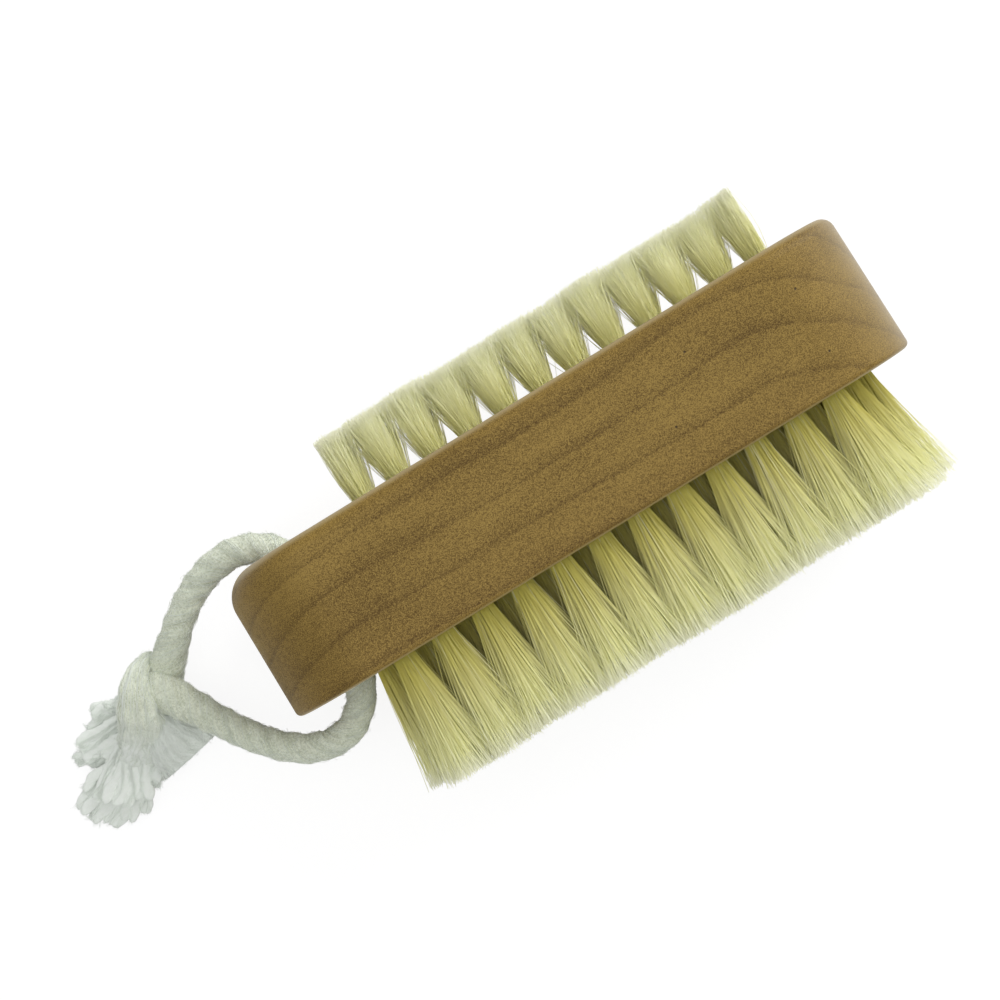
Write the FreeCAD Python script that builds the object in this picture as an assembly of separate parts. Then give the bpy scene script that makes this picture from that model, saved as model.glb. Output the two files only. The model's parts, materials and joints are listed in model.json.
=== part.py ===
"""Two-sided wooden nail brush with a rope hanging loop, in millimetres.

The brush lies on one long side of its wooden stock, as it is laid on a table.
X runs along the stock, away from the rope end. Y runs through its thickness, from the long scrub
bristles (-Y) to the short nail bristles (+Y). Z is up, across the stock's width.
The origin is the middle of the flat side that the brush lies on.
"""

import FreeCAD, Part
import math
import os

from FreeCAD import Vector

# Wooden stock. Its ends lean, so the nail face is shorter than the scrub face.
stock_length = 95.0
stock_width = 35.0
stock_thickness = 20.5
stock_corner_radius = 13.0
rope_end_lean = 0.15
far_end_lean = 0.4
nail_edge_round = 1.9
nail_rope_end_round = 4.6
scrub_edge_round = 0.8

# Tuft holes and the flat wire anchors that hold the folded bristles in them
tuft_hole_diameter = 2.9
tuft_hole_web = 4.5
tuft_fit_gap = 0.05
tuft_tip_gap = 0.45
tuft_sides = 8
anchor_thickness = 0.3
anchor_height = 1.6
anchor_bite = 0.4
anchor_above_floor = 1.2

# Scrub side: staggered rows of long tufts
scrub_length = 17.5
scrub_pitch = 5.93
scrub_rows = 5
scrub_far_margin = 7.1
scrub_edge_margin = 5.5

# Nail side: one middle row of short tufts
nail_length = 10.0
nail_pitch = 5.66
nail_far_margin = 10.3
nail_rope_margin = 12.4

# Rope hole
rope_diameter = 4.0
rope_sides = 8
rope_hole_clearance = 0.5
rope_hole_inset = 10.0
rope_hole_land = 2.6
rope_hole_mouth_chamfer = 0.8

# Knot: turns of the rope wrapped side by side round the two strands, on the table
knot_reach = 30.2
knot_across = 0.8
knot_turn_deg = 19.5
knot_width = 15.6
knot_height = 10.0
knot_turns = 2
knot_turn_overlap = 0.3
knot_core_length = 8.6

# Rope loop: points of its route in the plane of the loop, as (distance from the hole's axis, Y).
# The first and last points lie inside the knot, and the two at distance 0 are the turns at the mouths.
rope_route = (
    (29.0, 4.4),
    (18.6, 11.2),
    (10.0, 14.4),
    (0.0, 14.2),
    (0.0, -15.7),
    (10.5, -15.9),
    (19.0, -11.2),
    (28.0, -2.6),
)
arc_share = 0.45

# Frayed rope ends: they leave the knot side by side and fan out with an even gap between them
fray_length = 12.5
fray_root_half_width = 2.4
fray_tip_half_width = 4.2
fray_root_half_height = 2.3
fray_tip_half_height = 1.6
fray_turn_deg = 14.0
fray_gap = 0.8
floor_gap = 0.1

# Places worked out from the sizes above
half_length = stock_length / 2
half_width = stock_width / 2
half_thickness = stock_thickness / 2
middle_height = half_width
rope_hole_x = -half_length + rope_hole_inset
tuft_hole_depth = (stock_thickness - tuft_hole_web) / 2
tuft_hole_radius = tuft_hole_diameter / 2
tuft_root_radius = tuft_hole_radius - tuft_fit_gap
scrub_row_spacing = 2 * (half_width - scrub_edge_margin) / (scrub_rows - 1)
rope_radius = rope_diameter / 2
rope_hole_radius = rope_radius + rope_hole_clearance
loop_drop = middle_height - knot_height / 2
loop_run = math.sqrt(knot_reach**2 - loop_drop**2)

Y_AXIS = Vector(0, 1, 0)
Z_AXIS = Vector(0, 0, 1)


def save(name, solids):
    """Writes one sub-part, a solid or a group of separate solids, to its own file."""
    shape = solids[0] if len(solids) == 1 else Part.makeCompound(solids)
    shape.exportStep(os.path.join("parts", name + ".step"))
    print(name, len(solids), "solid(s)", round(sum(s.Volume for s in solids), 2), "mm3")


def round_edges(solid, radius, wanted):
    """Rounds every edge of the solid that the test picks out."""
    return solid.makeFillet(radius, [edge for edge in solid.Edges if wanted(edge)])


def lies_at_y(edge, y):
    """True if the whole edge lies in the plane of that Y."""
    box = edge.BoundBox
    return abs(box.YMin - y) < 1e-6 and abs(box.YMax - y) < 1e-6


def nail_rim_radius(vertex):
    """The rounding of the nail face's rim at one of its vertices: the rope end is sanded rounder."""
    at_rope_end = vertex.X < -half_length + stock_corner_radius / 2
    return nail_rope_end_round if at_rope_end else nail_edge_round


def round_nail_rim(solid):
    """Rounds the nail face's rim. At the rope end's two corners the radius runs from one to the other."""
    document = FreeCAD.newDocument("stock")
    blank = document.addObject("Part::Feature", "blank")
    blank.Shape = solid
    rim = document.addObject("Part::Fillet", "nail_rim")
    rim.Base = blank
    radii = []
    for number, edge in enumerate(solid.Edges, start=1):
        if lies_at_y(edge, half_thickness):
            first, last = [nail_rim_radius(vertex) for vertex in edge.Vertexes]
            radii.append((number, first, last))
    rim.Edges = radii
    document.recompute()
    return rim.Shape.Solids[0]


def is_rope_mouth(edge):
    """True for the two sharp rims of the rope hole."""
    box = edge.BoundBox
    return abs(box.XLength - 2 * rope_hole_radius) < 1e-3 and box.YLength < 1e-6


def many_sided_ring(centre, axis, radius, sides):
    """The corners of a regular many-sided ring across the axis, turned off square by a quarter side."""
    first = axis.cross(Z_AXIS)
    first.normalize()
    second = axis.cross(first)
    second.normalize()
    angles = [2 * math.pi * (step + 0.25) / sides for step in range(sides)]
    return [centre + first * (radius * math.cos(a)) + second * (radius * math.sin(a)) for a in angles]


def closed_wire(corners):
    """The closed line through those corners."""
    return Part.makePolygon(corners + corners[:1])


def faceted_solid(rings):
    """A solid with flat faces between one ring of corners and the next, closed at both ends."""
    faces = [Part.Face(closed_wire(rings[0])), Part.Face(closed_wire(rings[-1]))]
    for low, high in zip(rings, rings[1:]):
        for at in range(len(low)):
            corners = [low[at - 1], low[at], high[at], high[at - 1]]
            faces.append(Part.Face(closed_wire(corners)))
    return Part.Solid(Part.Shell(faces))


def make_stock_blank():
    """The undrilled block: leaning ends, rounded corners, softly rounded edges and the rope hole."""
    corners = [
        Vector(-half_length, -half_thickness, 0),
        Vector(half_length, -half_thickness, 0),
        Vector(half_length - far_end_lean, half_thickness, 0),
        Vector(rope_end_lean - half_length, half_thickness, 0),
    ]
    blank = Part.Face(closed_wire(corners)).extrude(Z_AXIS * stock_width)
    blank = round_edges(blank, stock_corner_radius, lambda e: e.BoundBox.YLength > stock_thickness / 2)
    blank = round_nail_rim(blank)
    blank = round_edges(blank, scrub_edge_round, lambda e: lies_at_y(e, -half_thickness))
    bore = Part.makeCylinder(
        rope_hole_radius,
        stock_thickness,
        Vector(rope_hole_x, -half_thickness, middle_height),
        Y_AXIS,
    )
    blank = blank.cut(bore)
    return blank.makeChamfer(rope_hole_mouth_chamfer, [e for e in blank.Edges if is_rope_mouth(e)])


def depth_inside_outline(x, across):
    """How far a point of a bristle face lies inside the stock's rounded outline."""
    past_x = abs(x) - (half_length - stock_corner_radius)
    past_across = abs(across) - (half_width - stock_corner_radius)
    past_corner = math.hypot(max(past_x, 0.0), max(past_across, 0.0))
    return stock_corner_radius - past_corner - min(max(past_x, past_across), 0.0)


def clear_of_rope_hole(x, across):
    """True if a tuft hole there leaves enough wood between itself and the rope hole."""
    least = rope_hole_radius + tuft_hole_radius + rope_hole_land
    return math.hypot(x - rope_hole_x, across) >= least


def scrub_row_places(row):
    """(distance across from the middle, X places) of one scrub row. Every other row is staggered."""
    from_middle = row - (scrub_rows - 1) // 2
    across = from_middle * scrub_row_spacing
    start = half_length - scrub_far_margin - (from_middle % 2) * scrub_pitch / 2
    steps = range(int(stock_length / scrub_pitch) + 1)
    places = [start - step * scrub_pitch for step in reversed(steps)]
    roomy = [x for x in places if depth_inside_outline(x, across) > scrub_edge_margin - tuft_fit_gap]
    return across, [x for x in roomy if clear_of_rope_hole(x, across)]


def nail_row_places():
    """The X places of the nail row, spread evenly from beside the rope to its far end."""
    first = rope_hole_x + nail_rope_margin
    last = half_length - nail_far_margin
    gaps = round((last - first) / nail_pitch)
    return [first + (last - first) * step / gaps for step in range(gaps + 1)]


class BristleFace:
    """One drilled face of the stock: which way it faces, its bristles' length, and the distance
    between the nearest two tufts, which leaves a gap between their flared tips."""

    def __init__(self, side, length, nearest):
        self.side = side
        self.length = length
        self.tip_radius = (nearest - tuft_tip_gap) / 2

    def at(self, x, height, out):
        """The point of a tuft's axis that stands that far out of the wood."""
        return Vector(x, self.side * (half_thickness + out), height)

    def ring(self, x, height, out, radius):
        return many_sided_ring(self.at(x, height, out), Y_AXIS, radius, tuft_sides)

    def hole(self, x, height):
        """The cutter for one blind hole, with the section of the bundle that fills it."""
        stations = (-tuft_hole_depth, 0.0)
        return faceted_solid([self.ring(x, height, out, tuft_hole_radius) for out in stations])

    def anchor(self, x, height):
        """The flat wire across the hole. Its ends bite into the wood on both sides."""
        length = tuft_hole_diameter + 2 * anchor_bite
        low = self.at(x, height, anchor_above_floor - tuft_hole_depth)
        high = self.at(x, height, anchor_above_floor + anchor_height - tuft_hole_depth)
        corner = Vector(x - anchor_thickness / 2, min(low.y, high.y), height - length / 2)
        return Part.makeBox(anchor_thickness, anchor_height, length, corner)

    def tuft(self, x, height):
        """A bundle of bristles: straight in its hole, flared outside it and trimmed flat."""
        stations = (
            (tuft_fit_gap - tuft_hole_depth, tuft_root_radius),
            (0.0, tuft_root_radius),
            (self.length, self.tip_radius),
        )
        bundle = faceted_solid([self.ring(x, height, out, radius) for out, radius in stations])
        return bundle.cut(self.anchor(x, height))


def loop_point(reach, y):
    """A point of the loop's plane, which hangs from the hole's axis down to the knot on the table."""
    along = reach / knot_reach
    return Vector(rope_hole_x - along * loop_run, y, middle_height - along * loop_drop)


def knot_axis(turn_deg):
    """The way that the knot, or a frayed end turned further, points away from the brush."""
    angle = math.radians(turn_deg)
    return Vector(-math.cos(angle), -math.sin(angle), 0)


def oval_ring(centre, axis, half_wide, half_high):
    """An upright many-sided oval across the axis."""
    corners = []
    for corner in many_sided_ring(Vector(), axis, 1.0, rope_sides):
        flat = Vector(corner.x * half_wide, corner.y * half_wide, corner.z * half_high)
        corners.append(centre + flat)
    return closed_wire(corners)


def rope_section(centre, axis):
    """The rope's many-sided section, as one closed line."""
    return closed_wire(many_sided_ring(centre, axis, rope_radius, rope_sides))


def wrap_path(centre, axis):
    """The closed line of one turn of the wrap: two straight runs joined by half circles."""
    end_radius = knot_height / 2 - rope_radius
    straight = axis.cross(Z_AXIS) * (knot_width / 2 - rope_radius - end_radius)
    bulge = axis.cross(Z_AXIS) * end_radius
    up = Z_AXIS * end_radius
    corners = (
        centre + straight + up,
        centre - straight + up,
        centre - straight - up,
        centre + straight - up,
    )
    return Part.Wire(
        [
            Part.LineSegment(corners[0], corners[1]).toShape(),
            Part.Arc(corners[1], centre - straight - bulge, corners[2]).toShape(),
            Part.LineSegment(corners[2], corners[3]).toShape(),
            Part.Arc(corners[3], centre + straight + bulge, corners[0]).toShape(),
        ]
    )


def make_knot():
    """The knot: two rope turns side by side, round a core where the strands enter and the ends leave."""
    centre = loop_point(knot_reach, knot_across)
    axis = knot_axis(knot_turn_deg)
    core = Part.Face(wrap_path(centre - axis * (knot_core_length / 2), axis)).extrude(axis * knot_core_length)
    turns = []
    for turn in range(knot_turns):
        along = (turn - (knot_turns - 1) / 2) * (rope_diameter - knot_turn_overlap)
        path = wrap_path(centre + axis * along, axis)
        start = path.Edges[0]
        section = rope_section(start.firstVertex().Point, start.tangentAt(start.FirstParameter))
        turns.append(path.makePipeShell([section], True, False))
    return core.fuse(turns)


def make_frayed_end(side):
    """One unravelled rope end. It leaves the knot's core, fans out and lies on the table."""
    splay = math.degrees(math.atan2(fray_tip_half_width - fray_root_half_width, fray_length))
    knot_way = knot_axis(knot_turn_deg)
    axis = knot_axis(fray_turn_deg - side * splay)
    across = side * (fray_root_half_width + fray_gap / 2)
    root = loop_point(knot_reach, knot_across) + knot_way * (knot_core_length / 2)
    root += knot_way.cross(Z_AXIS) * across
    tip = root + axis * fray_length
    middle = (root + tip) * 0.5
    middle.z = fray_root_half_height + floor_gap
    tip.z = fray_tip_half_height + floor_gap
    half_way = (fray_root_half_width + fray_tip_half_width) / 2
    rings = [
        oval_ring(root, knot_way, fray_root_half_width, fray_root_half_height),
        oval_ring(middle, axis, half_way, fray_root_half_height),
        oval_ring(tip, axis, fray_tip_half_width, fray_tip_half_height),
    ]
    return Part.makeLoft(rings, True, True)


def rope_path(points):
    """Straight runs joined by tangent arcs, each as large as its two runs allow."""
    edges = []
    start = points[0]
    for before, corner, after in zip(points, points[1:], points[2:]):
        back = before - corner
        ahead = after - corner
        turn = math.pi - back.getAngle(ahead)
        trim = arc_share * min(back.Length, ahead.Length)
        radius = trim / math.tan(turn / 2)
        back.normalize()
        ahead.normalize()
        inward = back + ahead
        inward.normalize()
        centre = corner + inward * math.hypot(trim, radius)
        arc_from = corner + back * trim
        arc_to = corner + ahead * trim
        edges.append(Part.LineSegment(start, arc_from).toShape())
        edges.append(Part.Arc(arc_from, centre - inward * radius, arc_to).toShape())
        start = arc_to
        print("rope turn", round(math.degrees(turn), 1), "deg, radius", round(radius, 2), "mm")
    edges.append(Part.LineSegment(start, points[-1]).toShape())
    return Part.Wire(edges)


def make_rope(knot):
    """The cotton rope: out of the knot, through the stock and back into the knot."""
    points = [loop_point(reach, y) for reach, y in rope_route]
    path = rope_path(points)
    section = rope_section(points[0], points[1] - points[0])
    tube = path.makePipeShell([section], True, False)
    expected = Part.Face(section).Area * path.Length
    print("rope length", round(path.Length, 2), "volume share", round(tube.Volume / expected, 4))
    return tube.cut(knot)


def main():
    os.makedirs("parts", exist_ok=True)
    scrub_nearest = min(scrub_pitch, math.hypot(scrub_pitch / 2, scrub_row_spacing))
    scrub = BristleFace(-1, scrub_length, scrub_nearest)
    nail = BristleFace(1, nail_length, nail_pitch)
    holes = []

    for row in range(scrub_rows):
        across, places = scrub_row_places(row)
        height = middle_height + across
        holes += [scrub.hole(x, height) for x in places]
        save(f"scrub_tufts_row_{row + 1}", [scrub.tuft(x, height) for x in places])
        save(f"scrub_anchors_row_{row + 1}", [scrub.anchor(x, height) for x in places])

    nail_places = nail_row_places()
    for number, x in enumerate(nail_places, start=1):
        holes.append(nail.hole(x, middle_height))
        save(f"nail_tuft_{number:02d}", [nail.tuft(x, middle_height)])
    save("nail_anchors", [nail.anchor(x, middle_height) for x in nail_places])

    save("wood_stock", [make_stock_blank().cut(holes)])

    knot = make_knot()
    save("rope_knot", [knot])
    save("hang_rope", [make_rope(knot)])
    save("rope_end_upper", [make_frayed_end(1)])
    save("rope_end_lower", [make_frayed_end(-1)])


main()
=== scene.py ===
"""Looks of a two-sided wooden nail brush: grained wood, single bristles, a twisted cotton rope with a
knot and frayed ends, and a plain studio. Sizes are in metres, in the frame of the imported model."""

import json
import math
from typing import NamedTuple

import bpy
import numpy as np
from bpy.props import FloatProperty, FloatVectorProperty, IntProperty, PointerProperty
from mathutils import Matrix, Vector


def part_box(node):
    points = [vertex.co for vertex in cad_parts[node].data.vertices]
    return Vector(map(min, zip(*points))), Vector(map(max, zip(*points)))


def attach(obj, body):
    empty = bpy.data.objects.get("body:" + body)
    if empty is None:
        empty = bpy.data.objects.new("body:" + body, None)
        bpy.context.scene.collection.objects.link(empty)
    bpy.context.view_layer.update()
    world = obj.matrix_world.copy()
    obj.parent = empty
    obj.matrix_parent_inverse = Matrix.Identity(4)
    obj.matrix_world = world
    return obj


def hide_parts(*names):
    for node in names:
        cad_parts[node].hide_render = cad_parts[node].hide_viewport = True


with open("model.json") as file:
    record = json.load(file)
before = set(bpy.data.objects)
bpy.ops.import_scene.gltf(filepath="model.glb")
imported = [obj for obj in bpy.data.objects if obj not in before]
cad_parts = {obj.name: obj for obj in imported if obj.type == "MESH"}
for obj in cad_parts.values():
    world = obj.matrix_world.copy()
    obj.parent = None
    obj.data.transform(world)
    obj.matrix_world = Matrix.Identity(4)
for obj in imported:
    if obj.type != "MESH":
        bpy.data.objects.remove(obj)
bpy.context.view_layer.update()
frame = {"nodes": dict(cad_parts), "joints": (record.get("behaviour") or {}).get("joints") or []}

bl_info = {
    "name": "Nail Brush",
    "version": (1, 0, 0),
    "blender": (4, 5, 0),
    "location": "View3D > Sidebar > Nail Brush",
    "description": "Dresses a two-sided wooden nail brush with wood, bristles and a knotted rope",
    "category": "Object",
}

MM = 0.001
# Radians: about one full turn, for random starts, and the turn between neighbours that fills a disc evenly
FULL_TURN = 6.28
GOLDEN_TURN = 2.39996
STOCK_LOW, STOCK_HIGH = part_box("wood_stock")
SCRUB_FACE = STOCK_LOW.y
NAIL_FACE = STOCK_HIGH.y
ROPE_HOLE = Vector(frame["joints"][0]["pos_m"])
SCRUB_ROWS = [f"scrub_tufts_row_{row}" for row in range(1, 6)]
NAIL_TUFTS = [f"nail_tuft_{number:02d}" for number in range(1, 13)]
ANCHORS = [f"scrub_anchors_row_{row}" for row in range(1, 6)] + ["nail_anchors"]

# The rope's route in the plane of its loop: distance from the hole's axis, Y, and lift off the plane,
# in millimetres. It starts and ends in the knot.
ROPE_ROUTE = (
    (32.0, 0.2, -1.6),
    (26.1, 5.3, -1.2),
    (19.0, 10.6, 0.0),
    (12.0, 13.4, 0.0),
    (5.4, 13.4, 0.0),
    (0.0, 9.4, 0.0),
    (0.0, 3.0, 0.0),
    (0.0, -4.0, 0.0),
    (0.3, -10.4, 0.0),
    (5.2, -15.7, 0.0),
    (12.0, -15.9, 0.0),
    (18.4, -11.8, 0.0),
    (24.2, -4.2, 0.7),
    (27.9, 1.8, 2.0),
    (31.8, 5.0, 0.2),
)
LOOP_REACH, LOOP_RUN, LOOP_DROP = 30.2, 27.49, 12.5

# The band that wraps the two strands, in millimetres: its middle, half its width and half its thickness.
# It starts under the strands, turns up round them and runs over them into the frayed ends.
KNOT_BAND = (
    ((-66.4, -2.6, 2.0), (1.5, 1.2)),
    ((-65.2, 2.4, 1.7), (1.9, 1.5)),
    ((-63.2, 6.4, 2.2), (1.4, 1.4)),
    ((-63.3, 7.3, 5.0), (0.9, 1.1)),
    ((-65.4, 6.1, 8.3), (1.6, 1.4)),
    ((-66.9, 3.4, 9.0), (2.5, 1.7)),
    ((-68.0, 0.2, 8.0), (3.1, 1.9)),
    ((-69.6, -2.6, 5.2), (3.4, 1.7)),
    ((-71.4, -4.8, 3.2), (3.4, 0.9)),
    ((-73.2, -6.6, 1.9), (2.9, 0.4)),
)
KNOT_SIDE = Vector((-0.92, 0.38, 0.0)).normalized()

# Clumps of loose cotton, in millimetres: root and tip in plan, height at the tip, and half the width.
UPPER_CLUMPS = (
    ((-68.6, 4.4), (-72.2, 4.2), 3.4, 0.8),
    ((-69.4, 3.6), (-74.6, 4.3), 2.6, 1.2),
    ((-70.2, 2.6), (-76.4, 3.0), 2.0, 1.2),
    ((-70.6, 1.7), (-78.6, 1.8), 2.4, 1.2),
    ((-70.8, 0.7), (-80.2, 0.6), 1.6, 0.9),
    ((-71.0, -0.4), (-78.8, -0.6), 1.9, 1.2),
    ((-71.0, -1.4), (-76.4, -1.3), 2.6, 1.2),
)
LOWER_CLUMPS = (
    ((-71.4, -2.2), (-81.0, -4.5), 2.2, 1.1),
    ((-71.4, -2.7), (-83.2, -6.2), 1.7, 1.2),
    ((-71.2, -3.0), (-82.6, -8.1), 1.5, 1.1),
    ((-71.0, -3.4), (-80.7, -9.8), 1.7, 1.4),
    ((-70.6, -3.4), (-78.1, -10.8), 2.0, 1.2),
    ((-70.2, -3.2), (-75.9, -10.9), 1.6, 0.9),
    ((-69.8, -3.0), (-72.8, -8.6), 2.4, 1.3),
    ((-69.2, -2.8), (-71.2, -7.9), 1.8, 1.2),
    ((-69.0, -2.6), (-72.0, -8.0), 3.8, 1.2),
    ((-70.2, -2.2), (-74.6, -9.2), 3.9, 1.3),
    ((-71.4, -1.6), (-77.4, -8.6), 3.8, 1.3),
    ((-72.0, -0.8), (-79.6, -6.4), 3.4, 1.3),
)

# The sheet of loosened cotton that leaves the knot and thins out, given in the same way as the band
WEB_SHEET = (
    ((-66.0, 0.8, 6.2), (1.0, 1.5)),
    ((-66.3, -1.8, 6.4), (2.0, 1.6)),
    ((-66.2, -4.2, 6.0), (3.2, 1.4)),
    ((-65.8, -6.2, 5.2), (4.2, 0.9)),
    ((-65.4, -7.6, 4.4), (4.6, 0.35)),
)
WEB_SIDE = Vector((1.0, -0.08, 0.0)).normalized()

# Small dark pores in the side that faces up, in millimetres
PORES = ((36.75, 3.86), (20.4, 4.36), (36.3, -5.2), (14.5, -3.3))
PORE_COLOUR = (0.03, 0.018, 0.008)

# Growth rings, in metres: the pith's place, the distance from it to a ring line, and how far rings wander
PITH_Y, PITH_Z, PITH_REACH = 0.060, 0.005, 0.0615
RING_SWAY, RING_RIPPLE = 0.0042, 0.0007

# How unevenly bristles stand in a tuft. Lengths are in metres, shares are of the tuft's bristles.
BRISTLE_STATIONS = 6
FILL_POWER = 0.44
ROOT_DEPTH, ROOT_SCATTER = 0.0012, 0.00005
TUFT_LEAN, BRISTLE_BEND, BRISTLE_TAPER = 0.00020, 0.00028, 0.38
STRAY_SHARE, STRAY_FLARE, STRAY_BEND = 0.07, (0.1, 1.04), 1.8
SHORT_SHARE, SHORT_LOSS = 0.06, (0.0004, 0.003)
CUT_BELOW, TUFT_CUT_SCATTER, CUT_SCATTER = 0.0002, 0.00020, 0.00018
TABLE_GAP, TABLE_SCATTER = 0.0003, 0.0006

# A short bristle's share of a long one's thickness
NAIL_SLIMNESS = 0.75

# Mesh points further apart than this along a row belong to different tufts
TUFT_GAP = 1.9 * MM

# The share of the flare that a row's two ends keep on their outer side. Below 0 it turns inwards.
SCRUB_ENDS = (0.68, 1.15)
NAIL_ENDS = (0.25, -0.2)

# The packed inside of a tuft: its width against the tuft's spread at each station, the share that it keeps
# of its last step, its highest tone, and its sides and streaks
CORE_PROFILE = (1.0, 1.0, 1.0, 0.95, 0.79, 0.30)
CORE_END, CORE_TONE, CORE_SIDES, CORE_STREAKS = 0.6, 0.6, 32, 0.35

# Strands: tubes with more sides than this are shaded smooth, and tones keep off the edges of the map
FLAT_SIDES = 8
TONE_START, TONE_SPAN = 0.02, 0.96

# Ways that the sides of strands and of the rope's rings are set out from
SLANT = np.array((0.36, 0.48, 0.80))
NEARLY_DOWN = np.array((0.02, 0.01, -1.0))

# Swellings of the cotton: their paces in radians to a millimetre, and their heights as shares of its radius
LUMP_PACES = (0.35, 0.6, 0.9, 1.4, 2.1, 2.9)
ROPE_LUMPS, BUNDLE_LUMPS = 0.014, 0.022
STRAND_RELIEF, YARN_RELIEF = 0.04, 0.08

# The rope swells before the knot by this share, from this far before its end and over this run, in metres
KNOT_SWELL, SWELL_START, SWELL_RUN = 0.42, 0.016, 0.011

# Steps along the rope and along a bundle of yarns, and how far fibres stay off the table, in metres
ROPE_STEP, BUNDLE_STEP = 0.00022, 0.0002
LYING_CLEAR, LOOSE_CLEAR, CLUMP_CLEAR = 0.00012, 0.0001, 0.0005

# Fibres that lie on a piece of rope, and the fur: stations along it, its radius and how deep it starts
LYING_FIBRES = 900
FUR_STATIONS, FUR_RADIUS, FUR_DEPTH = 5, 0.000022, 0.00008

# How a clump is made up: stations along it and fibres in a yarn, the places of its bodies and yarns across
# it, and in metres how far it sways, crimps and waves and how high it starts at the knot
CLUMP_STATIONS, YARN_FIBRES = 14, 11
BODY_PLACES = (-0.55, 0.0, 0.55)
YARN_PLACES = np.linspace(-0.85, 0.85, 5)
CLUMP_SWAY, CLUMP_CRIMP, KNOT_RISE = 0.0004, 0.00030, 0.0040
YARN_WAVE, YARN_LIFT, FIBRE_CURL = 0.00022, 0.00022, 0.00006

# The studio: the floor's size in metres, its grey and its glow where it is seen, the weaker lamp's share of
# the key light, and the camera's place in metres and turn in degrees
FLOOR_HALF, FLOOR_DROP = 2.5, 0.0002
SEEN_GREY, SEEN_GLOW = (0.22, 0.22, 0.22), 0.86
TOP_SHARE = 0.34
CAMERA_PLACE, CAMERA_TURN = (-0.0096, 0.0005, 0.355), -31.45


def length(name, default, description):
    """A length that a user may change."""
    return FloatProperty(name=name, description=description, default=default, unit="LENGTH", precision=5)


def colour(name, default, description):
    """A colour that a user may change."""
    return FloatVectorProperty(
        name=name, description=description, default=default, subtype="COLOR", size=3, min=0.0, max=1.0
    )


def amount(name, default, description):
    """A number of bristles that a user may change."""
    return IntProperty(name=name, description=description, default=default, min=20, max=900)


class StockSettings(bpy.types.PropertyGroup):
    """Colours and grain of the wooden stock"""

    pale: colour("Pale wood", (0.31, 0.203, 0.047), "Colour of the early wood")
    dark: colour("Dark wood", (0.085, 0.046, 0.007), "Colour of the ring lines and of the dark flecks")
    # The edge colour is partly sanded wear and partly a painted highlight where the rounded edges catch the
    # light.
    edge: colour("Worn and lit edge", (0.36, 0.27, 0.11), "Colour of the sanded edges, part wear and part painted highlight")
    ring_gap: length("Ring gap", 0.0049, "Distance between two growth rings")


class BristleSettings(bpy.types.PropertyGroup):
    """Number, sizes and colours of the bristles"""

    per_tuft: amount("Long bristles", 480, "Bristles in one long tuft")
    per_nail_tuft: amount("Short bristles", 680, "Bristles in one short tuft")
    thickness: length("Thickness", 0.00011, "Thickness of a bristle at its root")
    root_radius: length("Root radius", 0.00142, "Radius of a tuft where it leaves the wood")
    scrub_spread: length("Scrub spread", 0.0050, "Radius of a long tuft at its tips")
    nail_spread: length("Nail spread", 0.0034, "Radius of a short tuft at its tips")
    # One plant fibre in two copies: the scrub root's dark deep yellow is painted shade where the long tufts
    # crowd each other, and the nail colours are a paler painted-light copy.
    scrub_root: colour("Scrub root", (0.66, 0.59, 0.10), "Colour of a long bristle at its root")
    scrub_tip: colour("Scrub tip", (0.95, 0.96, 0.55), "Colour of a long bristle near its tip")
    nail_root: colour("Nail root", (0.99, 0.98, 0.50), "Colour of a short bristle at its root")
    nail_tip: colour("Nail tip", (0.99, 1.0, 0.72), "Colour of a short bristle near its tip")
    inside: colour("Inside", (0.95, 0.92, 0.36), "Colour of the light that comes through a bristle")


class RopeSettings(bpy.types.PropertyGroup):
    """Sizes and colours of the rope"""

    thickness: length("Thickness", 0.0040, "Thickness of the rope")
    lay: length("Lay", 0.0108, "Length of one full twist")
    cotton: colour("Cotton", (0.88, 0.92, 0.77), "Colour of the cotton")
    # Painted shade: the crease colour darkens the grooves between the strands, and is also the dark end of
    # the cotton's random mottling.
    crease_shade_and_mottle: colour("Crease", (0.52, 0.56, 0.42), "Colour of the cotton between the strands")
    frayed: colour("Frayed cotton", (0.95, 0.99, 0.94), "Colour of the loose ends")
    shaded: colour("Shaded cotton", (0.90, 0.95, 0.88), "Colour of the loose ends between their yarns")


class StageSettings(bpy.types.PropertyGroup):
    """Light, floor and lens of the studio"""

    key: FloatProperty(
        name="Key light", description="Power of the large soft lamp", default=4.5, min=0.0, unit="POWER"
    )
    fill: FloatProperty(
        name="Fill light", description="Strength of the light from all round", default=0.62, min=0.0
    )
    floor: colour("Floor", (0.80, 0.80, 0.80), "Colour of the floor")
    lens: FloatProperty(name="Lens", description="Focal length of the camera", default=90.1, unit="CAMERA")


class Value:
    """An output socket. Expressions on numbers add Math nodes to its material."""

    def __init__(self, finish, socket):
        self.finish = finish
        self.socket = socket

    def other(self, name):
        """Another output of the same node."""
        return Value(self.finish, self.socket.node.outputs[name])

    def maths(self, operation, first, second):
        return self.finish.node("Math", {"operation": operation}, {0: first, 1: second})

    def __add__(self, other):
        return self.maths("ADD", self, other)

    def __sub__(self, other):
        return self.maths("SUBTRACT", self, other)

    def __rsub__(self, other):
        return self.maths("SUBTRACT", other, self)

    def __mul__(self, other):
        return self.maths("MULTIPLY", self, other)

    def __truediv__(self, other):
        return self.maths("DIVIDE", self, other)

    def __rtruediv__(self, other):
        return self.maths("DIVIDE", other, self)

    def __pow__(self, other):
        return self.maths("POWER", self, other)

    def __rpow__(self, other):
        return self.maths("POWER", other, self)

    __radd__ = __add__
    __rmul__ = __mul__


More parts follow.
